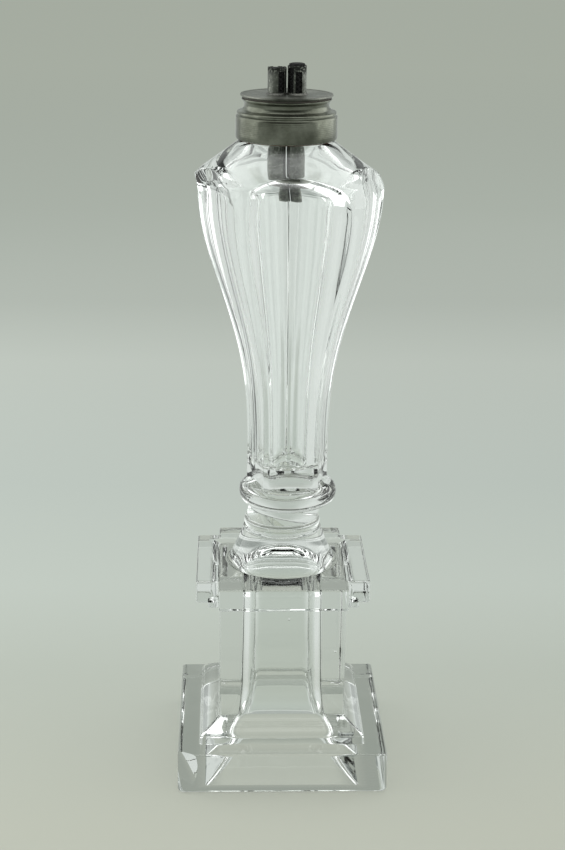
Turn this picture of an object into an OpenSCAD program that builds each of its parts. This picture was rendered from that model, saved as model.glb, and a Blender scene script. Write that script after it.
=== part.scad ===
// Two-tube whale oil lamp with a pressed glass monument base, a loop-pattern font and a metal burner.
// Millimetres. The origin is the middle of the rim that the lamp stands on, +Z is up, -Y is the front.

/* [Plinth] */
// Width of the square plinth
plinth_w = 84; // [82:0.5:92]
// Height of the plinth
plinth_h = 17.3; // [14:0.1:21]
// Width of the foot of the moulding on the plinth
foot_w = 66.4; // [62:0.2:70]
// Height of the upright edge under the moulding
foot_h = 3.3; // [2:0.1:5]
// Height of the curved moulding between foot and shaft
ogee_h = 6.6; // [5:0.1:9]
// Radius of the old shell-shaped chip in the front left corner
chip_r = 26; // [25:0.5:27]
// How far the chip's centre lies outside the plinth, to the left
chip_left = 8; // [7:0.5:10]
// How far the chip's centre lies outside the plinth, to the front
chip_front = 20.5; // [20:0.5:23]
// Height of the chip's centre
chip_up = 12; // [8:0.5:15]

/* [Shaft] */
// Width of the square shaft
shaft_w = 50.6; // [47:0.2:52]
// Height of the plain part of the shaft
shaft_h = 45; // [40:0.5:55]
// Height of the small moulding under the capital
ovolo_h = 3.8; // [2.5:0.1:5]
// How far that moulding stands out from the shaft
ovolo_out = 4.6; // [3:0.1:6]

/* [Capital] */
// Width of the capital over its arms
cap_w = 69; // [66:0.5:72]
// Width of each arm of the capital's cross
arm_w = 51.2; // [48:0.2:56]
// Height of the capital
cap_h = 9.2; // [7:0.1:12]
// Radius of the cone's foot on the capital
cone_foot_r = 22; // [20:0.2:24]
// Radius of the cone's top, under the wafer
cone_top_r = 15.9; // [15.4:0.1:17.5]
// Height of the cone
cone_h = 14.6; // [12:0.1:18]

/* [Hollow of the base] */
// Width of the hollow where it opens at the bottom
mouth_w = 62; // [56:0.5:66]
// Width of the hollow above its flare
hollow_low_w = 34.5; // [31:0.5:36]
// Width of the hollow below its rounded end
hollow_top_w = 32; // [28:0.5:33]
// Height of the flare
flare_h = 40; // [30:0.5:45]
// Height at which the rounded end begins
hollow_straight = 80; // [70:0.5:81]
// Height of the rounded end
hollow_round = 12; // [9:0.5:13]
// Turn of the rounded end, where 90 would run to a point
hollow_end_turn = 78; // [60:1:84]
// Half diagonal of the hollow against its half width, which rounds its corners
hollow_corner = 1.24; // [1.15:0.01:1.35]

/* [Wafer] */
// Radius of the wafer at its rim
wafer_r = 15.3; // [15:0.1:17]
// Height of the wafer
wafer_h = 4.6; // [3.5:0.1:6]
// How far the rim of the wafer bulges
wafer_bulge = 0.9; // [0.5:0.1:1.5]

/* [Font] */
// Radius of the short neck under the knop
foot_neck_r = 14.5; // [13.5:0.1:14.9]
// Height of the knop's middle above the font's lower end
knop_up = 10.7; // [10:0.1:12]
// Radius of the knop over all
knop_r = 19.6; // [19:0.1:21]
// Half height of the knop
knop_half = 4.8; // [4.4:0.1:5]
// Radius of the font's stem over its ribs
stem_r = 16.8; // [15.5:0.1:17.5]
// Radius of the font's belly over its ribs
belly_r = 37.4; // [36:0.1:38.5]
// Height from the knop's middle to the foot of the swelling
swell_up = 15; // [12:1:20]
// Height from the knop's middle to the belly
belly_up = 119.9; // [110:1:125]
// How slowly the swelling starts
swell_power = 1.38; // [1.2:0.02:1.6]
// Height from the belly to the top of the shoulder
shoulder_up = 21.4; // [20:0.2:23]
// Slope of the shoulder, in radius for each millimetre of height
shoulder_slope = 1.37; // [1.3:0.01:1.5]
// Width of the ledge between shoulder and neck
ledge_w = 0.6; // [0.2:0.1:1]
// How fast the belly rounds off below the shoulder
belly_round = 0.02; // [0.01:0.002:0.03]
// Number of loops round the font
loops = 5; // [5:1:8]
// How far the middle of the front loop is turned to the right, in degrees
loop_turn = 3; // [0:0.5:10]
// Height of the round top of each loop's face
arch_h = 17; // [10:0.5:18]
// Height from the belly to the top of each loop's face
arch_up = 7.7; // [6:0.1:8]
// Width of each loop's face against the distance between two ribs
face_share = 0.88; // [0.8:0.01:0.96]
// How deep each loop's face is hollowed at the belly
face_sag = 2.3; // [0:0.1:3]
// How fast the band round a loop's top rises outwards
band_rise = 0.18; // [0.1:0.01:0.25]
// How far the belly lies to the right of the stand
font_lean = 2.9; // [1:0.1:3.5]
// How far the stem's foot lies to the right
stem_lean = 2.1; // [1:0.1:2.5]
// Height above the belly over which the lean fades out
lean_fade = 12; // [10:0.5:15]

/* [Font, inside] */
// How far the hollow lies to the right
cavity_lean = 1.85; // [1.5:0.05:2.5]
// Height from the knop's middle to the bottom of the hollow
cavity_up = 11.5; // [10:0.1:15]
// Radius of the hollow at its bottom
cavity_low_r = 10.5; // [8:0.1:11]
// Radius of the hollow at the belly
cavity_belly_r = 26; // [24:0.2:26.4]
// Height from the belly to the top of the cone that closes the hollow in to the neck
cavity_cone_up = 18.7; // [17:0.1:19.6]
// Slope of that cone, in radius for each millimetre of height
cavity_slope = 1.07; // [1:0.01:1.3]
// Radius of the round corner at the bottom of the hollow
cavity_corner = 3; // [2:0.2:4]
// Radius of the bore through the glass neck
neck_bore_r = 12.4; // [12.2:0.1:13.5]
// Radius of the glass neck inside the collar
neck_r = 17; // [16.5:0.1:17.3]
// Height of the glass neck
neck_h = 8.9; // [7:0.1:9.5]

/* [Collar] */
// Radius of the collar's skirt
skirt_r = 19.4; // [19:0.1:20.5]
// Thickness of the skirt
skirt_wall = 1.3; // [1:0.1:1.5]
// Height of the skirt, down from the collar's inner shoulder
skirt_h = 9.4; // [8:0.1:9.6]
// Width of the small bevels at the skirt's edges
skirt_edge = 0.7; // [0.3:0.1:0.9]
// Height of the bead over the skirt
bead_h = 0.9; // [0.5:0.1:1.2]
// Thickness of the cement on top of the glass neck
cement_h = 0.8; // [0.5:0.1:1.2]
// Height of the collar above its inner shoulder
collar_up = 5.9; // [5:0.1:7]
// Height of the waist's lower end above the inner shoulder
waist_up = 1.4; // [1:0.1:2]
// Radius of the collar's waist
waist_r = 16.2; // [15.5:0.1:17]
// Radius of the collar's upper lip
lip_r = 17.2; // [16.8:0.1:17.6]

/* [Burner] */
// Radius of the burner's screw
screw_r = 12; // [11.5:0.1:12.1]
// Wall of the burner's screw
screw_wall = 1.8; // [1.4:0.1:2.5]
// Length of the burner's screw
screw_h = 6.4; // [5.5:0.1:6.6]
// Radial clearance of the screw in the collar
screw_fit = 0.05; // [0.02:0.01:0.1]
// Gap between parts that are stacked but not joined
seat_gap = 0.1; // [0.05:0.05:0.3]
// Thickness of the washer
washer_h = 0.4; // [0.3:0.1:0.8]
// Radius of the washer
washer_r = 16.9; // [16:0.1:17.2]
// Radius of the burner's plate
plate_r = 17.64; // [17:0.1:19]
// Thickness of the plate at its rim
plate_h = 1; // [0.8:0.1:1.5]
// Depth of the shallow dish in the plate
dish_h = 0.2; // [0.1:0.1:0.4]
// Width of the plate's raised rim
rim_w = 1.3; // [1:0.1:2]
// Diameter of the air hole in the plate, behind the tubes
vent_d = 1.6; // [1.2:0.1:2]

/* [Tubes and wicks] */
// Outside diameter of a wick tube
tube_d = 7.15; // [6.8:0.05:7.3]
// Wall of a wick tube
tube_wall = 0.35; // [0.3:0.05:0.5]
// Distance between the two tubes' axes
tube_pitch = 7.5; // [7.4:0.05:8]
// How far the left tube stands above the plate
tube_left_up = 10; // [9:0.1:12]
// How far the right tube stands above the plate
tube_right_up = 10.7; // [10.3:0.1:12]
// How far the tubes reach below the plate's top
tube_down = 40.5; // [35:0.5:45]
// Width of a pick slot
slot_w = 2.5; // [1.6:0.1:2.8]
// Height of the pick slots' lower ends above the plate
slot_up = 0.5; // [0.4:0.1:1]
// Height of the two pick slots that look forward
slot_h = 7.9; // [5:0.1:8]
// Height of the right tube's second slot, which looks to the left
long_slot_h = 9.3; // [5:0.1:9.4]
// Turn of the left tube's slot from the front, to the right
slot_left_turn = 27; // [-30:1:40]
// Turn of the right tube's slot from the front, to the right
slot_right_turn = 10; // [0:1:40]
// Turn of the right tube's second slot from the front, to the left
slot_long_turn = 43; // [40:1:60]
// How far the solder spreads out from the tubes
solder_out = 0.8; // [0.4:0.1:1]
// How far the solder reaches up the tubes
solder_h = 0.6; // [0.4:0.1:1]
// Radial clearance of a wick in its tube
wick_fit = 0.05; // [0.03:0.01:0.1]
// How far the left wick lies below its tube's end
wick_left_sunk = 0.5; // [0:0.1:2]
// How far the right wick stands out of its tube
wick_right_out = 0.7; // [0:0.1:2]
// How far the wicks' lower ends lie above the tubes' lower ends
wick_short = 4.5; // [3.5:0.5:8]

/* [Hidden] */
$fn = 96;
// Overlap of solids that are cut from or fused with each other
eps = 1;

// Heights of the base, from the floor up
foot_z = plinth_h;
ogee_z = foot_z + foot_h;
shaft_z = ogee_z + ogee_h;
ovolo_z = shaft_z + shaft_h;
cap_z = ovolo_z + ovolo_h;
cone_z = cap_z + cap_h;
wafer_z = cone_z + cone_h;

// Heights of the font
font_z = wafer_z + wafer_h;
knop_z = font_z + knop_up;
swell_z = knop_z + swell_up;
belly_z = knop_z + belly_up;
ledge_z = belly_z + shoulder_up;
neck_top_z = ledge_z + neck_h;
cavity_z = knop_z + cavity_up;

// Heights of the metal parts
shoulder_z = neck_top_z + cement_h;
collar_top_z = shoulder_z + collar_up;
washer_z = collar_top_z + seat_gap;
plate_z = washer_z + washer_h + seat_gap;
plate_top_z = plate_z + plate_h;
screw_z = plate_z - screw_h;
tube_z = plate_top_z - tube_down;
wick_z = tube_z + wick_short;

tube_r = tube_d / 2;
bore_r = tube_r - tube_wall;
wick_r = bore_r - wick_fit;
skirt_bore_r = skirt_r - skirt_wall;
collar_bore_r = screw_r + screw_fit;

// Points in each curve of an outline
curve_steps = 8;
// Columns of the font's faces to each loop, and the steps between its rings below and at the shoulder
loop_columns = 14;
ring_step = 6.2;
shoulder_step = 1.68;
// How far below the belly the closer rings begin
fine_below = 12.4;

// Share of the way along an S-shaped curve
function ease(t) = (1 - cos(180 * t)) / 2;

// A profile of half widths and heights, mirrored into a closed outline
function mirrored(half) = concat(half, [for (i = [len(half) - 1:-1:0]) [-half[i][0], half[i][1]]]);

// A solid of square plan from a profile of half widths
module square_turned(half) {
    depth = 4 * plinth_w;
    intersection() {
        rotate([90, 0, 0])
            linear_extrude(depth, center = true)
                polygon(mirrored(half));
        rotate([90, 0, 90])
            linear_extrude(depth, center = true)
                polygon(mirrored(half));
    }
}

base_profile = concat(
    [[plinth_w / 2, 0], [plinth_w / 2, plinth_h], [foot_w / 2, foot_z]],
    [for (i = [0:curve_steps])
        let (t = i / curve_steps)
        [foot_w / 2 - (foot_w - shaft_w) / 2 * ease(t), ogee_z + ogee_h * t]],
    [for (i = [0:curve_steps])
        let (a = 90 * i / curve_steps)
        [shaft_w / 2 + ovolo_out * (1 - cos(a)), ovolo_z + ovolo_h * sin(a)]]
);

// Half width of the hollow at height z
function hollow_half(z) =
    let (t = min(z / flare_h, 1), u = max((z - hollow_straight) / hollow_round, 0))
    (hollow_low_w / 2 + (mouth_w - hollow_low_w) / 2 * pow(1 - t, 3)
        - (hollow_low_w - hollow_top_w) / 2 * min(z / hollow_straight, 1)) * sqrt(1 - u * u);

hollow_profile = concat(
    [[hollow_half(0), -eps]],
    [for (i = [0:curve_steps]) let (z = flare_h * i / curve_steps) [hollow_half(z), z]],
    [for (i = [0:curve_steps])
        let (z = hollow_straight + hollow_round * sin(hollow_end_turn * i / curve_steps))
        [hollow_half(z), z]]
);

module hollow() {
    intersection() {
        square_turned(hollow_profile);
        rotate_extrude()
            polygon(concat(
                [[0, -2 * eps], [hollow_corner * hollow_half(0), -2 * eps]],
                [for (p = hollow_profile) [hollow_corner * p[0], p[1]]],
                [for (r = [hollow_corner * hollow_profile[len(hollow_profile) - 1][0], 0])
                    [r, hollow_straight + hollow_round + eps]]
            ));
    }
}

module capital() {
    notch = (cap_w - arm_w) / 2;
    difference() {
        translate([-cap_w / 2, -cap_w / 2, cap_z])
            cube([cap_w, cap_w, cap_h]);
        for (x = [-1, 1], y = [-1, 1])
            translate([x * cap_w / 2, y * cap_w / 2, cap_z + cap_h / 2])
                cube([2 * notch, 2 * notch, cap_h + 2 * eps], center = true);
    }
}

module base() {
    color([0.86, 0.9, 0.88])
    difference() {
        union() {
            square_turned(base_profile);
            capital();
            translate([0, 0, cone_z])
                cylinder(h = cone_h, r1 = cone_foot_r, r2 = cone_top_r);
        }
        hollow();
        translate([-plinth_w / 2 - chip_left, -plinth_w / 2 - chip_front, chip_up])
            sphere(r = chip_r);
    }
}

module wafer() {
    color([0.8, 0.87, 0.86])
    translate([0, 0, wafer_z])
        rotate_extrude()
            polygon(concat(
                [[0, 0]],
                [for (i = [0:curve_steps])
                    let (a = 180 * i / curve_steps)
                    [wafer_r - wafer_bulge * (1 - sin(a)), wafer_h * (1 - cos(a)) / 2]],
                [[0, wafer_h]]
            ));
}

// Radius of the font over its ribs at height z, before the loops are cut
function turned_r(z) =
    z <= belly_z
        ? let (t = min(max((z - swell_z) / (belly_z - swell_z), 0), 1))
          stem_r + (belly_r - stem_r) * pow(sin(90 * pow(t, swell_power)), 2)
        : min(belly_r - belly_round * pow(z - belly_z, 2),
              neck_r + ledge_w + shoulder_slope * (ledge_z - z));

// Angle from the middle of a loop's face to its edge
face_turn = asin(face_share * sin(180 / loops));

// Distance from the axis to the font's surface, at angle a from a loop's middle
function loop_r(a, z) =
    let (
        flat = turned_r(min(z, belly_z)) * cos(face_turn),
        across = tan(abs(a)) / tan(face_turn),
        above = max(z - (belly_z + arch_up - arch_h), 0) / arch_h,
        out = max(norm([across, above]) - max(across, 1), 0),
        sag = face_sag * flat / belly_r * max(1 - pow(across, 2), 0)
    )
    min(turned_r(z), (flat - sag) / cos(a) + band_rise * arch_h * out);

// How far the font's middle lies to the right at height z
function lean_at(z) =
    (stem_lean + (font_lean - stem_lean) * min((z - knop_z) / belly_up, 1))
        * (1 - ease(min(max((z - belly_z) / lean_fade, 0), 1)));

// Angle of a column of the font, and its angle from the middle of its loop
function column_angle(i) = 360 * i / (loops * loop_columns);
function from_middle(i) = column_angle(i) - 360 / loops * round(column_angle(i) / (360 / loops));

ring_heights = concat(
    [for (z = [knop_z:ring_step:belly_z - fine_below]) z],
    [for (z = [belly_z - fine_below + shoulder_step:shoulder_step:ledge_z - shoulder_step / 2]) z],
    [ledge_z]
);

module font_body() {
    columns = loops * loop_columns;
    rings = len(ring_heights);
    polyhedron(
        points = concat(
            [for (z = ring_heights, i = [0:columns - 1])
                let (r = loop_r(from_middle(i), z), a = column_angle(i) + loop_turn - 90)
                [r * cos(a) + lean_at(z), r * sin(a), z]],
            [[lean_at(knop_z), 0, knop_z], [0, 0, ledge_z]]
        ),
        faces = [for (k = [-1:rings - 1], i = [0:columns - 1], half = [0, 1])
            let (j = (i + 1) % columns, low = k * columns, top = low + columns)
            if (k >= 0 && k < rings - 1 || half == 0)
                k < 0 ? [rings * columns, i, j]
                    : k == rings - 1 ? [rings * columns + 1, low + j, low + i]
                    : half == 0 ? [low + i, top + i, low + j] : [low + j, top + i, top + j]]
    );
}

// Radius of the hollow at height z, up to the belly
function cavity_r(z) =
    let (t = (z - cavity_z) / (belly_z - cavity_z))
    cavity_low_r + (cavity_belly_r - cavity_low_r) * (t + pow(sin(90 * pow(t, swell_power)), 2)) / 2;

module font_hollow() {
    corner_z = cavity_z + cavity_corner;
    cone_top_z = belly_z + cavity_cone_up;
    translate([cavity_lean, 0, 0])
        rotate_extrude()
            polygon(concat(
                [[0, cavity_z]],
                [for (i = [0:curve_steps])
                    let (a = 90 * i / curve_steps)
                    [cavity_r(corner_z) - cavity_corner * (1 - sin(a)),
                     corner_z - cavity_corner * cos(a)]],
                [for (i = [1:2 * curve_steps])
                    let (z = corner_z + (belly_z - corner_z) * i / (2 * curve_steps))
                    [cavity_r(z), z]],
                [[cavity_belly_r, cone_top_z - (cavity_belly_r - neck_bore_r) / cavity_slope],
                 [neck_bore_r, cone_top_z],
                 [0, cone_top_z]]
            ));
    translate([0, 0, belly_z])
        cylinder(h = neck_top_z - belly_z + eps, r = neck_bore_r);
}

module font() {
    color([0.88, 0.92, 0.91])
    difference() {
        union() {
            translate([0, 0, font_z])
                cylinder(h = knop_up, r = foot_neck_r);
            translate([0, 0, knop_z])
                rotate_extrude()
                    translate([knop_r - knop_half, 0])
                        circle(r = knop_half);
            font_body();
            translate([0, 0, belly_z])
                cylinder(h = neck_top_z - belly_z, r = neck_r);
        }
        font_hollow();
    }
}

module cement() {
    color([0.36, 0.27, 0.21])
    rotate_extrude()
        polygon([
            [neck_r, ledge_z],
            [skirt_bore_r, ledge_z],
            [skirt_bore_r, shoulder_z],
            [neck_bore_r, shoulder_z],
            [neck_bore_r, neck_top_z],
            [neck_r, neck_top_z]
        ]);
}

module collar() {
    skirt_z = shoulder_z - skirt_h;
    waist_low = shoulder_z + waist_up;
    color([0.42, 0.42, 0.39])
    rotate_extrude()
        polygon(concat(
            [[skirt_bore_r, skirt_z], [skirt_r - skirt_edge, skirt_z], [skirt_r, skirt_z + skirt_edge]],
            [[skirt_r, shoulder_z - bead_h], [skirt_r - skirt_edge, shoulder_z - bead_h / 2]],
            [[skirt_r - skirt_edge / 2, shoulder_z], [skirt_r - skirt_edge, shoulder_z + skirt_edge]],
            [for (i = [0:curve_steps])
                let (t = i / curve_steps)
                [waist_r + (t < 0.4 ? (skirt_r - 2 * skirt_edge - waist_r) * pow(1 - t / 0.4, 2)
                    : (lip_r - waist_r) * pow((t - 0.4) / 0.6, 2)),
                 waist_low + (collar_top_z - waist_low) * t]],
            [[collar_bore_r, collar_top_z], [collar_bore_r, shoulder_z], [skirt_bore_r, shoulder_z]]
        ));
}

module washer() {
    color([0.09, 0.08, 0.07])
    translate([0, 0, washer_z])
        difference() {
            cylinder(h = washer_h, r = washer_r);
            translate([0, 0, -eps])
                cylinder(h = washer_h + 2 * eps, r = screw_r + seat_gap);
        }
}

// The two tubes' axes, at height z
module at_tubes(z) {
    for (side = [-1, 1])
        translate([side * tube_pitch / 2, 0, z])
            children();
}

module burner_plate() {
    color([0.44, 0.44, 0.42])
    difference() {
        translate([0, 0, plate_z])
            rotate_extrude()
                polygon([
                    [0, 0],
                    [plate_r - plate_h / 2, 0],
                    [plate_r, plate_h / 2],
                    [plate_r - plate_h / 8, plate_h],
                    [plate_r - rim_w / 2, plate_h],
                    [plate_r - rim_w, plate_h - dish_h],
                    [0, plate_h - dish_h]
                ]);
        at_tubes(plate_z - eps)
            cylinder(h = plate_h + 2 * eps, r = tube_r);
        translate([0, tube_d, plate_z - eps])
            cylinder(h = plate_h + 2 * eps, d = vent_d);
    }
}

module burner_screw() {
    color([0.5, 0.48, 0.42])
    translate([0, 0, screw_z])
        difference() {
            cylinder(h = screw_h, r = screw_r);
            translate([0, 0, -eps])
                cylinder(h = screw_h + 2 * eps, r = screw_r - screw_wall);
        }
}

// A wick tube that stands up above the plate, with pick slots of the given turns and heights
module wick_tube(up, slots) {
    difference() {
        cylinder(h = tube_down + up, r = tube_r);
        translate([0, 0, -eps])
            cylinder(h = tube_down + up + 2 * eps, r = bore_r);
        for (slot = slots)
            rotate(slot[0])
                translate([-slot_w / 2, -tube_d, tube_down + slot_up])
                    cube([slot_w, tube_d, slot[1]]);
    }
}

module tube_left() {
    color([0.33, 0.33, 0.31])
    translate([-tube_pitch / 2, 0, tube_z])
        wick_tube(tube_left_up, [[slot_left_turn, slot_h]]);
}

module tube_right() {
    color([0.33, 0.33, 0.31])
    translate([tube_pitch / 2, 0, tube_z])
        wick_tube(tube_right_up, [[-slot_long_turn, long_slot_h], [slot_right_turn, slot_h]]);
}

module tube_solder() {
    color([0.55, 0.55, 0.52])
    difference() {
        at_tubes(plate_top_z - dish_h)
            cylinder(h = solder_h, r1 = tube_r + solder_out, r2 = tube_r + solder_out / 4);
        at_tubes(plate_top_z - dish_h - eps)
            cylinder(h = solder_h + 2 * eps, r = tube_r);
    }
}

module wick_left() {
    color([0.06, 0.055, 0.05])
    translate([-tube_pitch / 2, 0, wick_z])
        cylinder(h = tube_down + tube_left_up - wick_short - wick_left_sunk, r = wick_r);
}

module wick_right() {
    color([0.06, 0.055, 0.05])
    translate([tube_pitch / 2, 0, wick_z])
        cylinder(h = tube_down + tube_right_up - wick_short + wick_right_out, r = wick_r);
}

base();
wafer();
font();
cement();
collar();
washer();
burner_plate();
burner_screw();
tube_left();
tube_right();
tube_solder();
wick_left();
wick_right();
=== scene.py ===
import math
import bmesh
import bpy
import numpy as np
from mathutils import Matrix, Vector


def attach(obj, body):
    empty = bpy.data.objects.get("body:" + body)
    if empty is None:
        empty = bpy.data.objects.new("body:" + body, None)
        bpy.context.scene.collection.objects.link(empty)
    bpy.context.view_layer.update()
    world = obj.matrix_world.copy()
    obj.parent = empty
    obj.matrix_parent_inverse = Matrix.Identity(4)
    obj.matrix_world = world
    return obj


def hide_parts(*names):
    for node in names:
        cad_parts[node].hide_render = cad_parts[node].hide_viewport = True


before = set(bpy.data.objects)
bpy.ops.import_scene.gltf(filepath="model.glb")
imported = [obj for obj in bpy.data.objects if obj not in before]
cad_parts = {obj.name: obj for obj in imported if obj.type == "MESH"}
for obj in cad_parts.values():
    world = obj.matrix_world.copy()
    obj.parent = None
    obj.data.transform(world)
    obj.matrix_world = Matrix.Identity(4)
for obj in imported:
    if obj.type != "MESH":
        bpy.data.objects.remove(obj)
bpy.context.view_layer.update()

scene = bpy.context.scene
scene.view_settings.view_transform = "Standard"


# Camera
# The lamp is seen from the front and a little above, from about two thirds of a metre away.
# The lens is a short telephoto one, level but for a fraction of a degree.
lens_mm = 73.19
film_mm = 36
camera_place = (-0.02186, -0.65904, 0.3528)
camera_heading = math.radians(-1.88)
camera_pitch = math.radians(72.29)
camera_roll = math.radians(0.66)

camera_data = bpy.data.cameras.new("camera")
camera_data.lens = lens_mm
camera_data.sensor_width = film_mm
camera = bpy.data.objects.new("camera", camera_data)
camera.matrix_world = (
    Matrix.Translation(camera_place)
    @ Matrix.Rotation(camera_heading, 4, "Z")
    @ Matrix.Rotation(camera_pitch, 4, "X")
    @ Matrix.Rotation(camera_roll, 4, "Z")
)
scene.collection.objects.link(camera)
scene.camera = camera


# Studio
# A sheet of grey-green paper lies under the lamp and runs far back, with painted light and shade in bands
# along its depth, darker behind it, and a painted light that makes it lighter on the left. Seen through the
# glass, it has a painted shade under the base's rim and painted light beside the base. Large soft lamps stand
# left and right, a third hangs above, and the room is pale, but dark round the camera.
class Value:
    """A socket of a material's tree, on which plain arithmetic adds Math nodes."""

    def __init__(self, material, socket):
        self.material = material
        self.socket = socket

    def math(self, operation, *others):
        return self.material.add("ShaderNodeMath", {"operation": operation}, self, *others)

    def __add__(self, other):
        return self.math("ADD", other)

    def __sub__(self, other):
        return self.math("SUBTRACT", other)

    def __mul__(self, other):
        return self.math("MULTIPLY", other)

    def __rsub__(self, other):
        return self.material.add("ShaderNodeMath", {"operation": "SUBTRACT"}, other, self)

    __radd__ = __add__
    __rmul__ = __mul__


class Finish:
    """A material whose nodes are added by type, settings and input values or links."""

    def __init__(self, name, target=None):
        self.data = target or bpy.data.materials.new(name)
        self.data.use_nodes = True
        self.tree = self.data.node_tree
        self.tree.nodes.clear()

    def feed(self, socket, value):
        """Links a value to a socket, or writes a number, a colour or a vector into it."""
        if isinstance(value, Value):
            self.tree.links.new(value.socket, socket)
        elif socket.type == "RGBA":
            socket.default_value = (*value, 1)
        else:
            socket.default_value = value

    def add(self, kind, settings, *values, out=0, **named):
        """Adds a node: its settings, then its inputs in their order, where None skips one, or by name."""
        node = self.tree.nodes.new(kind)
        for key, value in settings.items():
            if key == "stops":
                ramp = node.color_ramp.elements
                for _ in value[2:]:
                    ramp.new(0.5)
                for element, (place, colour) in zip(ramp, value):
                    element.position = place
                    element.color = (*colour, 1)
            else:
                setattr(node, key, value)
        for socket, value in zip(node.inputs, values):
            if value is not None:
                self.feed(socket, value)
        for key, value in named.items():
            self.feed(node.inputs[key.replace("_", " ")], value)
        return Value(self, node.outputs[out])

    def mix(self, factor, first, second):
        """A colour between two, through the colour sockets of a Mix node."""
        node = self.tree.nodes.new("ShaderNodeMix")
        node.data_type = "RGBA"
        sockets = {socket.identifier: socket for socket in [*node.inputs, *node.outputs]}
        for key, value in (("Factor_Float", factor), ("A_Color", first), ("B_Color", second)):
            self.feed(sockets[key], value)
        return Value(self, sockets["Result_Color"])

    def place(self):
        """The point on the piece, in its own frame and in metres."""
        return self.add("ShaderNodeTexCoord", {}, out="Object")

    def part(self, vector, axis):
        return self.add("ShaderNodeSeparateXYZ", {}, vector, out=axis)

    def span(self, value, start, end, low=0.0, high=1.0):
        """Runs from low to high while a value runs from start to end."""
        return self.add("ShaderNodeMapRange", {}, value, start, end, low, high)

    def ray(self, kind):
        return self.add("ShaderNodeLightPath", {}, out="Is " + kind + " Ray")

    def ray_by_glass(self):
        """1 for rays that come from glass or metal, else 0."""
        return (self.ray("Transmission") + self.ray("Glossy")).math("MINIMUM", 1.0)

    def noise(self, scale, detail=3, rough=0.5):
        return self.add("ShaderNodeTexNoise", {}, self.place(), Scale=scale, Detail=detail, Roughness=rough)

    def ramp(self, value, *stops):
        return self.add("ShaderNodeValToRGB", {"stops": stops}, value)

    def bump(self, height, strength, distance):
        return self.add("ShaderNodeBump", {}, Height=height, Strength=strength, Distance=distance)

    def surface(self, shader, output="ShaderNodeOutputMaterial"):
        node = self.tree.nodes.new(output)
        self.tree.links.new(shader.socket, node.inputs[0])
        return self.data


black = (0, 0, 0)
white = (1, 1, 1)
paper_start = -0.2
paper_end = 3.0
paper_half = 100
glow_to_camera = 0.6
glow_to_glass = 0.95
# Painted light on the paper beside the base, as seen through glass.
painted_light_beside = (0.7, 0.74, 0.71)
# Painted shade on the paper under the base's rim, as seen through glass.
painted_shade_under_rim = (0.32, 0.35, 0.31)

paper = Finish("paper")
paper_x = paper.part(paper.place(), "X")
paper_y = paper.part(paper.place(), "Y")
paper_beyond = paper.span(paper_y, 0.6, 1.1)
# Painted light: the paper is a little lighter on the left, towards the left lamp, and this fades far behind.
painted_side_light = paper.span(paper_x, -0.2, 0.2, 0.04, -0.04) * (1 - paper_beyond) + 1.0
# The paper's grey-green colour, with painted light and shade in bands along its depth, darker far behind.
paper_tone_and_painted_falloff = paper.ramp(
    paper.span(paper_y, paper_start, paper_end), (0.0, (0.45, 0.485, 0.43)), (0.04, (0.5, 0.52, 0.448)),
    (0.085, (0.47, 0.507, 0.452)), (0.115, (0.5, 0.545, 0.498)), (0.165, (0.47, 0.515, 0.477)),
    (0.25, (0.482, 0.518, 0.476)), (0.31, (0.425, 0.458, 0.417)), (0.45, (0.41, 0.445, 0.398)),
    (0.9, (0.445, 0.478, 0.418)))
paper_colour_and_painted_light = paper.add("ShaderNodeVectorMath", {"operation": "SCALE"}, paper_tone_and_painted_falloff, Scale=painted_side_light)
paper_side = paper_x.math("ABSOLUTE")
paper_by_glass = paper.ray_by_glass()
# Painted light: seen through glass, the paper to the sides and far behind is paler.
painted_light_beside_mask = paper.span(paper_side, 0.04, 0.16).math("MAXIMUM", paper_beyond) * paper_by_glass
# Painted shade: seen through glass, the paper in a band under the base's rim is darker.
painted_rim_shade_mask = paper.ramp(
    paper_side.math("MAXIMUM", paper_y.math("ABSOLUTE")),
    (0.024, black), (0.034, white), (0.041, white), (0.06, black)) * paper_by_glass
paper_shown = paper.mix(painted_rim_shade_mask, paper.mix(painted_light_beside_mask, paper_colour_and_painted_light, painted_light_beside), painted_shade_under_rim)
paper_lit = paper.add("ShaderNodeBsdfDiffuse", {}, paper_colour_and_painted_light)
paper_glow = paper.add("ShaderNodeEmission", {}, paper_shown, 1.0)
glow_share = paper.ray("Camera") * glow_to_camera + paper_by_glass * glow_to_glass
paper.surface(paper.add("ShaderNodeMixShader", {}, glow_share, paper_lit, paper_glow))

floor_mesh = bpy.data.meshes.new("paper")
paper_corners = [(x * paper_half, y * paper_half, 0) for x, y in ((-1, -1), (1, -1), (1, 1), (-1, 1))]
floor_mesh.from_pydata(paper_corners, [], [(0, 1, 2, 3)])
floor_mesh.materials.append(paper.data)
floor = bpy.data.objects.new("paper", floor_mesh)
scene.collection.objects.link(floor)

wall_light = (0.66, 0.7, 0.67)
wall_shade = (0.25, 0.28, 0.26)
side_shade = (0.5, 0.53, 0.51)
ceiling = (0.72, 0.76, 0.72)
wall_behind = (0.46, 0.49, 0.47)
round_camera = (0.08, 0.085, 0.07)
room_plain = (0.62, 0.65, 0.62)
room_to_camera = (0.4, 0.43, 0.38)

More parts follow.
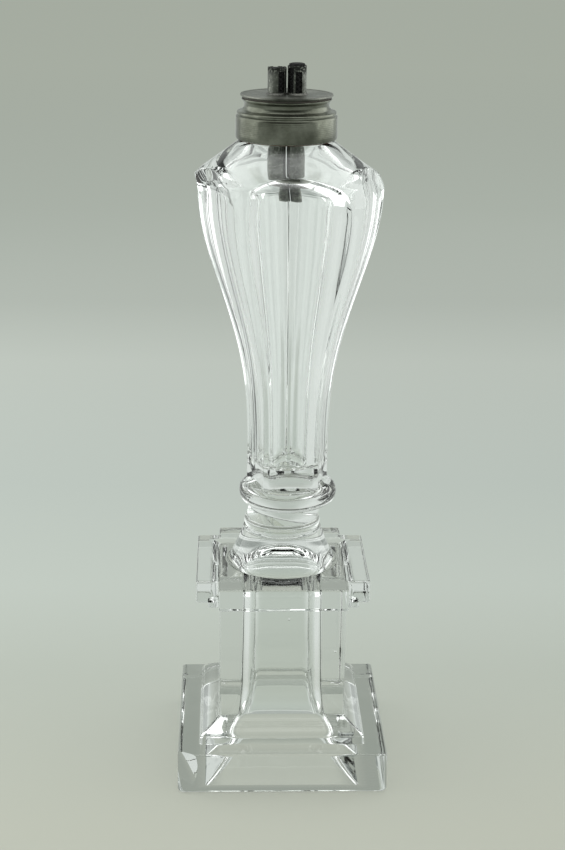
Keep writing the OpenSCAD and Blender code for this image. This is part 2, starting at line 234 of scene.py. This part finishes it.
world = bpy.data.worlds.new("room")
scene.world = world
room = Finish("room", world)
room_way = room.add("ShaderNodeTexCoord", {}, out="Generated")
room_side = room.part(room_way, "X").math("ABSOLUTE")
room_ahead = room.part(room_way, "Y")
room_up = room.part(room_way, "Z")
room_middle = room.ramp(
    room_up, (0.15, (0.43, 0.46, 0.44)), (0.22, wall_light), (0.4, wall_light),
    (0.47, wall_shade), (0.7, wall_shade), (0.85, ceiling))
room_beside = room.ramp(
    room_up, (0.35, (0.78, 0.82, 0.79)), (0.5, side_shade), (0.8, side_shade), (0.9, ceiling))
room_front = room.mix(room.span(room_side, 0.4, 0.7), room_middle, room_beside)
room_back = room.mix(room.span(room_ahead, -0.5, -0.8), wall_behind, round_camera)
room_by_glass = room.mix(room.span(room_ahead, 0.2, -0.1), room_front, room_back)
room_shown = room.mix(
    room.ray("Camera"), room.mix(room.ray_by_glass(), room_plain, room_by_glass), room_to_camera)
room.surface(room.add("ShaderNodeBackground", {}, room_shown, 1.0), "ShaderNodeOutputWorld")


def soft_lamp(name, place, target, width, height, power):
    data = bpy.data.lights.new(name, "AREA")
    data.shape = "RECTANGLE"
    data.size = width
    data.size_y = height
    data.energy = power
    lamp = bpy.data.objects.new(name, data)
    way = Vector(target) - Vector(place)
    lamp.matrix_world = Matrix.Translation(place) @ way.to_track_quat("-Z", "Y").to_matrix().to_4x4()
    scene.collection.objects.link(lamp)


for name, side in (("lamp_left", -1), ("lamp_right", 1)):
    soft_lamp(name, (side * 1.2, 0.2, 0.7), (0, 0, 0.15), 1.7, 1.6, 9.5)
soft_lamp("lamp_above", (0, 0.2, 1.4), (0, 0, 0.1), 1.4, 1.4, 6)


# Base
# Clear glass pressed in one piece: plinth, moulding, shaft, capital and cone, hollow from below.
# Its edges are rounded by the fire polish, one corner of the plinth has an old shell-shaped chip, and two
# tiny bubbles lie in the shaft's front wall.
mm = 0.001
glass_index = 1.5
glass_tint = (0.97, 0.985, 0.975)
dull_roughness = 0.06


def clear_glass(name, seed):
    """Clear old glass with faint ripples from the mould and a few dull places."""
    glass = Finish(name)
    ripple = glass.noise(60 + seed, 2)
    smudge = glass.ramp(glass.noise(35 + seed, 5, 0.6), (0.45, black), (0.8, (dull_roughness,) * 3))
    return glass.surface(glass.add(
        "ShaderNodeBsdfPrincipled", {}, Base_Color=glass_tint, Roughness=smudge, IOR=glass_index,
        Transmission_Weight=1.0, Normal=glass.bump(ripple, 0.08, 0.001)))


def fused_place():
    """Where two pieces of glass are fused there is no surface to be seen."""
    fused = Finish("fused")
    return fused.surface(fused.add("ShaderNodeBsdfPrincipled", {}, Alpha=0.0))


base_glass = clear_glass("base_glass", 0)
fused = fused_place()
fused_slot = 1


def solid(name, points, faces, *materials):
    """A closed mesh from points in millimetres, with its faces turned outwards."""
    mesh = bpy.data.meshes.new(name)
    mesh.from_pydata((np.asarray(points) * mm).tolist(), [], faces)
    shell = bmesh.new()
    shell.from_mesh(mesh)
    bmesh.ops.recalc_face_normals(shell, faces=shell.faces)
    shell.to_mesh(mesh)
    shell.free()
    for material in materials:
        mesh.materials.append(material)
    piece = bpy.data.objects.new(name, mesh)
    scene.collection.objects.link(piece)
    return piece


def skin(name, rings, *materials, start=None, end=None):
    """A closed skin over rings of points: from pole to pole, or without poles back to the first ring."""
    rings = np.asarray(rings)
    count, columns = rings.shape[:2]
    points = rings.reshape(-1, 3).tolist()
    after = [(i + 1) % columns for i in range(columns)]
    faces = []
    for ring in range(count if start is None else count - 1):
        low = ring * columns
        top = (ring + 1) % count * columns
        faces += [(low + i, low + after[i], top + after[i], top + i) for i in range(columns)]
    for pole, ring in ((start, 0), (end, count - 1)):
        if pole is not None:
            low = ring * columns
            faces += [(len(points), low + i, low + after[i]) for i in range(columns)]
            points.append(pole)
    return solid(name, points, faces, *materials)


def turned(name, profile, *materials, columns=96, start=None, end=None):
    """A lathe-turned skin from a profile of radii and heights in millimetres."""
    angles = np.arange(columns) * 2 * math.pi / columns
    rings = [np.stack([r * np.cos(angles), r * np.sin(angles), np.full(columns, z)], axis=1)
             for r, z in profile]
    return skin(name, rings, *materials, start=start, end=end)


def arc(x, z, radius, first, last, steps):
    """Points on an arc of a profile, with its angles in degrees."""
    return [(x + radius * math.cos(math.radians(a)), z + radius * math.sin(math.radians(a)))
            for a in np.linspace(first, last, steps + 1)]


def corner_point(half, radius, z, quarter, share):
    """A point on a square ring's rounded corner, a share of the way round it."""
    centre = (half - radius) * math.sqrt(2)
    diagonal = (quarter + 0.5) * math.pi / 2
    turn = (quarter + share) * math.pi / 2
    return np.array([centre * math.cos(diagonal) + radius * math.cos(turn),
                     centre * math.sin(diagonal) + radius * math.sin(turn), z])


def square_rings(profile, corner, arc_steps=6, side_steps=10):
    """Rounded square rings from a profile of half widths and heights, with their corners' radius."""
    rings = []
    for half, z in profile:
        radius = corner(half, z)
        ring = []
        for quarter in range(4):
            ring += [corner_point(half, radius, z, quarter, k / arc_steps) for k in range(arc_steps + 1)]
            here = ring[-1]
            there = corner_point(half, radius, z, quarter + 1, 0)
            ring += [here + (there - here) * k / side_steps for k in range(1, side_steps)]
        rings.append(ring)
    return rings


plinth_half = 42
plinth_top = 17.3
plinth_corner = 1.4
foot_half = 33.2
foot_top = 20.6
foot_round = 0.6
foot_fillet = 0.5
shaft_half = 25.3
shaft_foot = 27.2
shaft_top = 72.2
shaft_corner = 1.1
ovolo_half = 29.9
capital_foot = 76
capital_top = 85.2
cone_top = 99.8
edge = 0.8
foot_edge = 2.2
stub = 5


def moulding(t):
    """The moulding's hollow curve, from the step on the plinth in to the shaft."""
    ledge = foot_half - foot_fillet
    return (ledge - (ledge - shaft_half) * (1 - math.cos(math.pi * t)) / 2,
            foot_top + (shaft_foot - foot_top) * t)


def ovolo(a):
    """The quarter-round under the capital, at an angle in degrees."""
    return (shaft_half + (ovolo_half - shaft_half) * (1 - math.cos(math.radians(a))),
            shaft_top + (capital_foot - shaft_top) * math.sin(math.radians(a)))


monument = (
    arc(plinth_half - foot_edge, foot_edge, foot_edge, -90, 0, 8)
    + arc(plinth_half - edge, plinth_top - edge, edge, 0, 90, 5)
    + [(foot_half + foot_fillet, plinth_top), (foot_half + 0.12, plinth_top + 0.15),
       (foot_half, plinth_top + foot_fillet)]
    + arc(foot_half - foot_round, foot_top - foot_round, foot_round, 0, 80, 4)
    + [moulding(t) for t in np.linspace(0.06, 1, 15)]
    + [(shaft_half, z) for z in np.linspace(shaft_foot + 4, shaft_top - 3, 9)]
    + [(shaft_half, shaft_top)]
    + [ovolo(a) for a in range(10, 91, 10)]
    + [(ovolo_half, capital_foot + 2), (ovolo_half - 8, capital_foot + stub)]
)


def monument_corner(half, z):
    return plinth_corner if z < plinth_top + 1 and half > foot_half + 1 else shaft_corner


base = skin("glass_base", square_rings(monument, monument_corner), base_glass, fused,
            start=(0, 0, 0), end=(0, 0, capital_foot + stub))

arm_half = 25.6
capital_half = 34.6
arm_round = 0.9
notch_round = 0.6


def cross_ring(inset, z, steps=4):
    """The capital's cross-shaped outline, drawn in by an inset."""
    ring = []
    out = capital_half - inset
    arm = arm_half - inset
    corners = (
        (out - arm_round, arm - arm_round, arm_round, 0, 1),
        (arm + notch_round, arm + notch_round, notch_round, math.pi * 1.5, -1),
        (arm - arm_round, out - arm_round, arm_round, 0, 1),
    )
    for quarter in range(4):
        c, s = math.cos(quarter * math.pi / 2), math.sin(quarter * math.pi / 2)
        for x, y, radius, first, way in corners:
            for k in range(steps + 1):
                a = first + way * math.pi / 2 * k / steps
                px, py = x + radius * math.cos(a), y + radius * math.sin(a)
                ring.append((px * c - py * s, px * s + py * c, z))
    return ring


quarter_turn = [math.radians(a) for a in range(0, 91, 18)]
capital_rings = [cross_ring(edge * (1 - math.sin(a)), capital_foot + edge * (1 - math.cos(a)))
                 for a in quarter_turn]
capital_rings += [cross_ring(edge * (1 - math.cos(a)), capital_top - edge + edge * math.sin(a))
                  for a in quarter_turn]
capital = skin("capital", capital_rings, base_glass, fused,
               start=(0, 0, capital_foot), end=(0, 0, capital_top))

join_r = 14.4
cone_foot_r = 23.2
cone_low_r = 21.7
cone_high_r = 15.9
cone_low = capital_top + 0.9
cone_round = 0.5
cone_sag = 0.5


def cone_flank(t):
    """The cone's side, which is a little hollow, from its foot to its top."""
    return (cone_low_r + (cone_high_r - cone_low_r) * t - cone_sag * math.sin(math.pi * t),
            cone_low + (cone_top - cone_round - cone_low) * t)


cone_profile = (
    [(16, capital_top - 4), (cone_foot_r, capital_top - 3), (cone_foot_r, capital_top - 0.05),
     (22.5, capital_top + 0.25), (cone_low_r, cone_low)]
    + [cone_flank(t) for t in np.linspace(0.08, 1, 16)]
    + arc(cone_high_r - cone_round, cone_top - cone_round, cone_round, 18, 90, 4)
    + [(join_r, cone_top), (join_r * 0.5, cone_top)]
)
cone = turned("cone", cone_profile, base_glass, fused, start=(0, 0, capital_top - 4), end=(0, 0, cone_top))

hollow_mouth = 31
hollow_half_low = 17.25
hollow_narrowing = 1.25
hollow_flare = 40
hollow_straight = 80
hollow_dome = 12
hollow_start = -3


def hollow_half(z):
    """Half width of the base's hollow: a flared mouth, a narrow shaft and a domed end."""
    flare = (hollow_mouth - hollow_half_low) * (1 - min(z / hollow_flare, 1)) ** 3
    dome = max((z - hollow_straight) / hollow_dome, 0)
    return ((hollow_half_low + flare - hollow_narrowing * min(z / hollow_straight, 1))
            * math.sqrt(max(1 - dome * dome, 0)))


def hollow_corner(half, z):
    return min(1.5 + 6.5 * min(max(z, 0) / 34, 1), 0.6 * half)


hollow_heights = [*np.linspace(1.5, hollow_flare, 22), *np.linspace(45, hollow_straight, 8)]
hollow_heights += [hollow_straight + hollow_dome * math.sin(math.radians(a)) for a in range(6, 88, 6)]
hollow_profile = [(31.5, hollow_start), (31.5, -0.5), (31.15, 0), (30.6, 0.5)]
hollow_profile += [(hollow_half(z), z) for z in hollow_heights]
hollow = skin("hollow", square_rings(hollow_profile, hollow_corner, 10), base_glass, fused,
              start=(0, 0, hollow_start), end=(0, 0, hollow_straight + hollow_dome))


def ball(name, centre, radius, ripple=0, steps=10):
    """A ball to be cut away, whose skin may have the faint rings of a shell-shaped break."""
    x, y, z = centre
    rings = []
    for a in np.linspace(0, math.pi, steps + 2)[1:-1]:
        r = radius + ripple * math.sin(a * 46) * math.exp(-a)
        across = r * math.sin(a)
        rings.append([(x + across * math.cos(b), y + across * math.sin(b), z + r * math.cos(a))
                      for b in np.arange(2 * steps) * math.pi / steps])
    return skin(name, rings, base_glass, fused, start=(x, y, z + radius), end=(x, y, z - radius))


chip = ball("chip", (-50, -62.5, 12), 26, 0.08, 64)
bubbles = [ball("bubble", centre, 0.45) for centre in ((2.6, -21, 67.5), (21.4, -21, 53.4))]


def carve(piece, tool, operation):
    """Joins a tool to a piece or cuts it away, for good."""
    cut = piece.modifiers.new("cut", "BOOLEAN")
    cut.operation = operation
    cut.solver = "EXACT"
    cut.object = tool
    depsgraph = bpy.context.evaluated_depsgraph_get()
    mesh = bpy.data.meshes.new_from_object(piece.evaluated_get(depsgraph))
    piece.modifiers.clear()
    piece.data = mesh
    bpy.data.objects.remove(tool)


for addition in (capital, cone):
    carve(base, addition, "UNION")
for hole in (hollow, chip, *bubbles):
    carve(base, hole, "DIFFERENCE")


def finish_skin(piece, contact_heights=(), angle=32):
    """A smooth skin with its true edges, and no surface where glass is fused to the next piece."""
    mesh = piece.data
    mesh.shade_smooth()
    mesh.set_sharp_from_angle(angle=math.radians(angle))
    for face in mesh.polygons:
        x, y, z = face.center
        level = any(abs(z * 1000 - height) < 0.01 for height in contact_heights)
        if level and math.hypot(x, y) * 1000 < join_r and abs(face.normal.z) > 0.99:
            face.material_index = fused_slot
    weigh = piece.modifiers.new("weigh", "WEIGHTED_NORMAL")
    weigh.keep_sharp = True


finish_skin(base, [cone_top])
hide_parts("base")
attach(base, "root")


# Wafer
# A small flat drop of clear glass that was set between base and font while hot.
# It bulges out a little all round.
wafer_top = 104.4
wafer_bulge = 0.9


def wafer_side(a):
    """The wafer's bulging side, at an angle in degrees."""
    return (join_r + wafer_bulge * math.sin(math.radians(a)),
            cone_top + (wafer_top - cone_top) * (1 - math.cos(math.radians(a))) / 2)


wafer_profile = [(join_r * 0.5, cone_top)]
wafer_profile += [wafer_side(a) for a in range(0, 181, 12)]
wafer_profile += [(join_r * 0.5, wafer_top)]
wafer_glass = clear_glass("wafer_glass", 7)
wafer = turned("glass_wafer", wafer_profile, wafer_glass, fused, columns=128, start=(0, 0, cone_top),
               end=(0, 0, wafer_top))
finish_skin(wafer, [cone_top, wafer_top])
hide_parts("wafer")
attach(wafer, "root")


# Font
# Clear glass blown in a mould that gave it five tall flat loops with round arches at the shoulder.
# Its round foot is fused to the wafer, a knop lies above that, and its neck stands in the metal collar.
# It leans a little to the right, and a small knob of glass lies on the floor of its hollow.
loops = 5
loop_turn = math.radians(3)
columns = loops * 48
foot_r = 14.5
knop_z = 115.1
knop_r = 19.6
knop_half = 4.8
knop_blend = 0.6
stem_r = 16.8
belly_r = 37.4
swell_z = 130.1
swell_power = 1.38
belly_z = 235
belly_bend = 0.02
shoulder_slope = 1.37
shoulder_blend = 0.8
ledge_z = 256.4
neck_r = 17
neck_top = 265.3
neck_fillet = 0.6
arch_top = 242.7
arch_h = 17
band_rise = 0.18
rib_blend = 0.3
face_sag = 2.3
face_half = math.asin(0.88 * math.sin(math.pi / loops))
stem_lean = 2.1
font_lean = 2.9
lean_start = 8
lean_fade = 12


def smooth_min(a, b, reach):
    gap = np.maximum(reach - np.abs(a - b), 0)
    return np.minimum(a, b) - gap * gap / (4 * reach)


def smooth_max(a, b, reach):
    return -smooth_min(-a, -b, reach)


def swell(t):
    """The font's slow swelling from 0 at its stem to 1 at its belly."""
    return np.sin(np.pi / 2 * t ** swell_power) ** 2


def envelope(z):
    """Radius of the font over its ribs."""
    t = np.clip((z - swell_z) / (belly_z - swell_z), 0, 1)
    below = stem_r + (belly_r - stem_r) * swell(t)
    above = belly_r - belly_bend * np.maximum(z - belly_z, 0) ** 2
    shoulder = neck_r + neck_fillet + shoulder_slope * (ledge_z - z)
    return smooth_min(np.where(z <= belly_z, below, above), shoulder, shoulder_blend)


def fade(z):
    """Share of the lean that is left above the belly."""
    return (1 + np.cos(np.pi * np.clip((z - belly_z) / lean_fade, 0, 1))) / 2


def lean(z):
    """How far the font's middle lies to the right."""
    rise = np.clip((z - knop_z) / (belly_z - knop_z), 0, 1)
    start = np.clip((z - wafer_top) / lean_start, 0, 1)
    return (stem_lean + (font_lean - stem_lean) * rise) * fade(z) * start


def font_radius(angle, z):
    """Distance from the axis to the font's skin, at angles from a loop's middle."""
    flat = envelope(np.minimum(z, belly_z)) * math.cos(face_half)
    across = np.tan(np.abs(angle)) / math.tan(face_half)
    above = np.maximum(z - (arch_top - arch_h), 0) / arch_h
    out = np.maximum(np.hypot(across, above) - np.maximum(across, 1), 0)
    sag = face_sag * flat / belly_r * np.maximum(1 - across ** 2, 0)
    panel = (flat - sag) / np.cos(angle) + band_rise * arch_h * out
    body = smooth_min(envelope(z), panel, rib_blend)
    knop = np.sqrt(np.maximum(knop_half ** 2 - (z - knop_z) ** 2, 0)) + knop_r - knop_half
    knop = np.where(np.abs(z - knop_z) < knop_half, knop, 0)
    plain = np.where(z < knop_z, foot_r, np.where(z > ledge_z, neck_r, body))
    return smooth_max(plain, knop, knop_blend)


column_turns = np.arange(columns) * 2 * math.pi / columns
column_angles = column_turns + loop_turn
from_middle = (column_turns + math.pi / loops) % (2 * math.pi / loops) - math.pi / loops


def font_ring(radius, z, shift=0):
    """A ring of the font's columns, the first of which faces the front, moved to the right."""
    return np.stack([radius * np.sin(column_angles) + shift, -radius * np.cos(column_angles),
                     np.full(columns, z)], axis=1)


lip_z = neck_top - 0.3
outer_z = np.concatenate([
    np.arange(wafer_top, 109.6, 0.8), np.arange(109.6, 120.6, 0.3), np.arange(120.6, 222, 1.3),
    np.arange(222, 257, 0.36), np.arange(257, lip_z, 1.2), [lip_z]])
font_rings = [font_ring(join_r, wafer_top)]
font_rings += [font_ring(font_radius(from_middle, np.full(columns, z)), z, lean(z)) for z in outer_z]

cavity_z = 126.6
cavity_lean = 1.85
cavity_low_r = 10.5
cavity_belly_r = 26
cavity_corner = 3
cavity_slope = 1.07
cavity_end = 253.7
cavity_blend = 4
neck_bore_r = 12.4
lip_round = 0.6
knob_r = 2.2
knob_sink = 0.4


def cavity_radius(z):
    """Radius of the hollow, whose shoulder runs beside the outer one and rounds into the neck's bore."""
    t = np.clip((z - cavity_z) / (belly_z - cavity_z), 0, 1)
    wall = cavity_low_r + (cavity_belly_r - cavity_low_r) * (t + swell(t)) / 2
    shoulder = neck_bore_r + cavity_slope * (cavity_end - z)
    return smooth_max(smooth_min(wall, shoulder, cavity_blend), neck_bore_r, cavity_blend)


cavity_heights = [*np.arange(263, 232, -0.5), *np.linspace(232, cavity_z + cavity_corner, 60)]
corner_r = float(cavity_radius(cavity_z + cavity_corner))
inner = arc(neck_r - lip_round, neck_top - lip_round, lip_round, 30, 90, 3)
inner += arc(neck_bore_r + lip_round, neck_top - lip_round, lip_round, 90, 180, 4)
inner += [(float(cavity_radius(z)), z) for z in cavity_heights]
inner += [(corner_r - cavity_corner * (1 - math.cos(math.radians(a))),
           cavity_z + cavity_corner - cavity_corner * math.sin(math.radians(a))) for a in range(10, 91, 10)]
inner += [(4, cavity_z)] + arc(0, cavity_z + knob_r - knob_sink, knob_r, -55, 80, 8)
font_rings += [font_ring(r, z, cavity_lean * fade(z)) for r, z in inner]

font_glass = clear_glass("font_glass", 13)
font = skin("glass_font", font_rings, font_glass, fused, start=(0, 0, wafer_top),
            end=(cavity_lean, 0, cavity_z + 2 * knob_r - knob_sink))
finish_skin(font, [wafer_top], 50)
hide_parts("font")
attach(font, "root")


# Cement
# Plaster that holds the collar on the glass neck, stained brown by old oil.
# It shows only as a thin uneven line under the skirt.
plaster = Finish("plaster")
stain = plaster.noise(420, 6, 0.7)
plaster_colour = plaster.ramp(
    stain, (0.3, (0.06, 0.03, 0.02)), (0.6, (0.22, 0.12, 0.08)), (0.8, (0.45, 0.34, 0.26)))
plaster.surface(plaster.add(
    "ShaderNodeBsdfPrincipled", {}, plaster_colour, Roughness=0.9, Normal=plaster.bump(stain, 0.6, 0.0004)))


def dress(node, material):
    """Gives a CAD node's own mesh another finish."""
    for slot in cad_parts[node].material_slots:
        slot.material = material


dress("cement", plaster.data)


# Collar
# Pewter, cast and turned: a skirt over the glass neck, a rolled bead and a waist below the lip.
# It is cemented on, and the burner's screw turns in its bore.
metal_shine = 0.9
soot_colour = (0.012, 0.014, 0.01)
fleck_colour = (0.45, 0.47, 0.42)


def pewter(name, dark, light, scale, gloss=0.3, pits=0.9, soot=None):
    """Old grey tin alloy with cloudy tarnish, small pits and fine turning lines.

    Between two heights soot grows on it, and then it has pale flecks too.
    """
    metal = Finish(name)
    cloud = metal.noise(scale, 6, 0.65)
    fine = metal.noise(scale * 9, 4, 0.7)
    height = metal.part(metal.place(), "Z")
    lines = (height * 9000).math("SINE")
    colour = metal.mix(metal.ramp(cloud, (0.35, black), (0.68, white)), dark, light)
    rough = metal.span(fine, 0.3, 0.75, gloss, gloss + pits * 0.28)
    shine = metal_shine
    if soot:
        sooty = metal.span(height + cloud * 0.002, *soot)
        flecks = metal.ramp(metal.noise(scale * 5), (0.56, black), (0.66, (0.5, 0.5, 0.5)))
        colour = metal.mix(flecks, metal.mix(sooty, colour, soot_colour), fleck_colour)
        rough = rough.math("MAXIMUM", sooty * 0.85)
        shine = metal_shine - sooty * 0.8
    return metal.surface(metal.add(
        "ShaderNodeBsdfPrincipled", {}, colour, shine, rough,
        Normal=metal.bump(fine * pits + lines * 0.06, 0.35, 0.0002)))


collar_bore = 12.05
skirt_bore = 18.1
skirt_r = 19.4
collar_roof = 266.1
collar_top = 272.0
collar_profile = (
    [(skirt_bore, 257.1), (18.3, 256.8), (18.8, 256.7), (19.2, 257.0), (skirt_r, 257.6)]
    + [(skirt_r, z) for z in (259, 261, 263, 264.8)]
    + [(19.3, 265.3), (19.0, 265.65), (18.75, 265.8), (18.9, 266.1), (19.0, 266.5), (18.9, 266.9)]
    + [(18.6, 267.2), (18.1, 267.4), (17.4, 267.6), (16.8, 268.0), (16.4, 268.6), (16.2, 269.3)]
    + [(16.25, 270.0), (16.5, 270.7), (16.9, 271.2), (17.15, 271.5), (17.2, 271.75), (17.1, 271.95)]
    + [(16.9, collar_top)]
    + [(collar_bore + 0.4, collar_top), (collar_bore, 271.6), (collar_bore, 269), (collar_bore, collar_roof)]
    + [(14, collar_roof), (17, collar_roof), (skirt_bore, collar_roof), (skirt_bore, 262)]
)
collar_metal = pewter("collar_metal", (0.075, 0.08, 0.06), (0.2, 0.21, 0.17), 90, 0.18, 0.25)
collar = turned("collar_turned", collar_profile, collar_metal, columns=160)
finish_skin(collar)
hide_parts("collar")
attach(collar, "root")


# Washer
# A flat ring of leather on the collar's lip, which seals the burner.
# It rises with the burner's plate.
leather = Finish("leather")
grain = leather.noise(900, 4, 0.6)
leather_colour = leather.ramp(grain, (0.3, (0.03, 0.025, 0.02)), (0.8, (0.1, 0.085, 0.07)))
leather.surface(leather.add(
    "ShaderNodeBsdfPrincipled", {}, leather_colour, Roughness=0.7, Normal=leather.bump(grain, 0.4, 0.0002)))
dress("washer", leather.data)


# Burner's plate and screw
# A round pewter plate carries the tubes, which are soldered into it.
# A ring with a cut thread is soldered under the plate and screws into the collar.
dress("burner_plate", pewter("burner_metal", (0.1, 0.105, 0.09), (0.24, 0.245, 0.215), 140))
dress("tube_solder", pewter("solder", (0.07, 0.07, 0.065), (0.2, 0.2, 0.18), 300))


class Winding(Finish):
    """A Geometry Nodes tree that winds strands about an upright axis and joins them to a piece."""

    def __init__(self, name, **sizes):
        self.data = bpy.data.node_groups.new(name, "GeometryNodeTree")
        self.tree = self.data
        sockets = self.data.interface
        for way in ("OUTPUT", "INPUT"):
            sockets.new_socket("Geometry", in_out=way, socket_type="NodeSocketGeometry")
        self.names = {key: sockets.new_socket(key, in_out="INPUT", socket_type="NodeSocket" + kind).identifier
                      for key, kind in sizes.items()}
        given = self.tree.nodes.new("NodeGroupInput")
        size = {socket.name: Value(self, socket) for socket in given.outputs if socket.name}
        outline = self.add("GeometryNodeCurvePrimitiveCircle", {}, Resolution=size["Sides"],
                           Radius=size["Thickness"])
        joined = self.tree.nodes.new("GeometryNodeJoinGeometry")
        for count, back in (("Forward", False), ("Back", True)):
            helix = self.add("GeometryNodeCurveSpiral", {}, size["Steps"], size["Turns"], size["Radius"],
                             size["Radius"], size["Rise"], back)
            strand = self.add("GeometryNodeCurveToMesh", {}, helix, outline, Fill_Caps=True)
            starts = self.add("GeometryNodeMeshLine", {}, Count=size[count], Offset=(0, 0, 0))
            share = self.add("GeometryNodeInputIndex", {}).math("DIVIDE", size[count].math("MAXIMUM", 1.0))
            turn = self.add("ShaderNodeCombineXYZ", {}, 0.0, 0.0, share * (2 * math.pi))
            strands = self.add("GeometryNodeInstanceOnPoints", {}, starts, None, strand, Rotation=turn)
            placed = self.add("GeometryNodeTransform", {}, strands, Translation=size["Place"])
            self.tree.links.new(placed.socket, joined.inputs[0])
        self.tree.links.new(size["Geometry"].socket, joined.inputs[0])
        whole = self.add("GeometryNodeRealizeInstances", {}, Value(self, joined.outputs[0]))
        covered = self.add("GeometryNodeSetMaterial", {}, whole, Material=size["Material"])
        self.surface(covered, "NodeGroupOutput")

    def wind(self, piece, **sizes):
        modifier = piece.modifiers.new("strands", "NODES")
        modifier.node_group = self.data
        for key, value in sizes.items():
            modifier[self.names[key]] = value
        depsgraph = bpy.context.evaluated_depsgraph_get()
        mesh = bpy.data.meshes.new_from_object(piece.evaluated_get(depsgraph))
        piece.modifiers.clear()
        piece.data = mesh


winding = Winding("winding", Radius="Float", Thickness="Float", Rise="Float", Turns="Float", Steps="Int",
                  Sides="Int", Forward="Int", Back="Int", Place="Vector", Material="Material")
screw_metal = pewter("screw_metal", (0.3, 0.28, 0.24), (0.5, 0.48, 0.42), 120)
screw_r = 12
screw_wall = 1.8
screw_low = 266.2
screw_top = 272.6
thread_pitch = 1.8
thread_r = 0.35
thread_root = screw_r - thread_r
thread_rise = screw_top - screw_low - 2 * thread_r
screw = turned("screw_ring", [(screw_r - screw_wall, screw_low), (thread_root, screw_low),
                              (thread_root, screw_top), (screw_r - screw_wall, screw_top)], screw_metal)
winding.wind(screw, Radius=thread_root / 1000, Thickness=thread_r / 1000, Rise=thread_rise / 1000,
             Turns=thread_rise / thread_pitch, Steps=64, Sides=4, Forward=1, Back=0,
             Place=(0, 0, (screw_low + thread_r) / 1000), Material=screw_metal)
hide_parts("burner_screw")
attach(screw, "burner")


# Wick tubes
# Two tubes of tinned sheet, soldered side by side in the plate, blotched and sooty from the flame.
# Slots in their upper ends let a pick reach the wick.
plate_top = 273.6
tube_r = 3.575
bore_r = 3.225
tube_x = 3.75
tube_low = 233.1
tube_edge = 0.1
slot_half = 1.25
slot_low = plate_top + 0.5
tube_metal = pewter("tube_metal", (0.06, 0.065, 0.055), (0.2, 0.21, 0.185), 260, soot=(0.2812, 0.2836))


def wick_tube(node, x, top, slots):
    """A tube with a ragged burnt end and pick slots of the given turns in degrees and upper ends."""
    angles = np.arange(96) * math.pi / 48
    worn = sum(depth * (1 + np.sin(count * angles + start))
               for depth, count, start in ((0.12, 3, x), (0.1, 7, 2), (0.06, 17, 0)))
    profile = ((bore_r, tube_low, 0), (tube_r, tube_low, 0), (tube_r, plate_top, 0),
               (tube_r, top - tube_edge, 1), (tube_r - tube_edge, top, 1), (bore_r, top, 1),
               (bore_r, plate_top, 0))
    rings = [np.stack([x + r * np.cos(angles), r * np.sin(angles), height - worn * end], axis=1)
             for r, height, end in profile]
    tube = skin(node + "_worn", rings, tube_metal)
    for turn, slot_top in slots:
        c, s = math.cos(math.radians(turn)), math.sin(math.radians(turn))
        outline = ((-slot_half, -2 * tube_r), (slot_half, -2 * tube_r), (slot_half, 0), (-slot_half, 0))
        corners = [(x + c * u - s * v, s * u + c * v, z) for z in (slot_low, slot_top) for u, v in outline]
        sides = [(k, (k + 1) % 4, (k + 1) % 4 + 4, k + 4) for k in range(4)]
        carve(tube, solid("slot", corners, [(0, 1, 2, 3), (4, 5, 6, 7)] + sides), "DIFFERENCE")
    finish_skin(tube)
    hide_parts(node)
    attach(tube, "burner")


wick_tube("tube_left", -tube_x, plate_top + 10, [(27, slot_low + 7.9)])
wick_tube("tube_right", tube_x, plate_top + 10.7, [(-43, slot_low + 9.3), (10, slot_low + 7.9)])


# Wicks
# Round braided cotton, soaked with oil: a core with eight strands wound round it each way.
# The upper ends are charred.
char_from = 0.268
char_full = 0.274
wick_r = bore_r - 0.05
strand_r = 0.42
strands_each_way = 8
strand_turns = 3.2
wick_low = tube_low + 4.5

char = Finish("char")
fibre = char.noise(1500, 5, 0.7)
burnt = char.span(char.part(char.place(), "Z"), char_from, char_full)
cotton = char.ramp(fibre, (0.35, (0.11, 0.09, 0.06)), (0.8, (0.3, 0.26, 0.19)))
coal = char.ramp(fibre, (0.35, (0.003, 0.003, 0.003)), (0.8, (0.02, 0.019, 0.018)))
char.surface(char.add(
    "ShaderNodeBsdfPrincipled", {}, char.mix(burnt, cotton, coal), Roughness=0.95,
    Normal=char.bump(fibre, 0.8, 0.0004)))


def wick(node, x, top):
    """A braided wick in the tube at x, with its rounded upper end at a height."""
    core_r = wick_r - strand_r
    piece = turned(node + "_braided", [(core_r, wick_low), (core_r, top - 0.3), (core_r - strand_r, top)],
                   char.data, columns=48, start=(0, 0, wick_low), end=(0, 0, top - 0.1))
    for vertex in piece.data.vertices:
        vertex.co.x += x / 1000
    winding.wind(piece, Radius=core_r / 1000, Thickness=strand_r / 1000,
                 Rise=(top - wick_low - 2 * strand_r) / 1000, Turns=strand_turns, Steps=20, Sides=6,
                 Forward=strands_each_way, Back=strands_each_way,
                 Place=(x / 1000, 0, (wick_low + strand_r) / 1000), Material=char.data)
    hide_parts(node)
    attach(piece, node)


wick("wick_left", -tube_x, plate_top + 9.5)
wick("wick_right", tube_x, plate_top + 11.4)
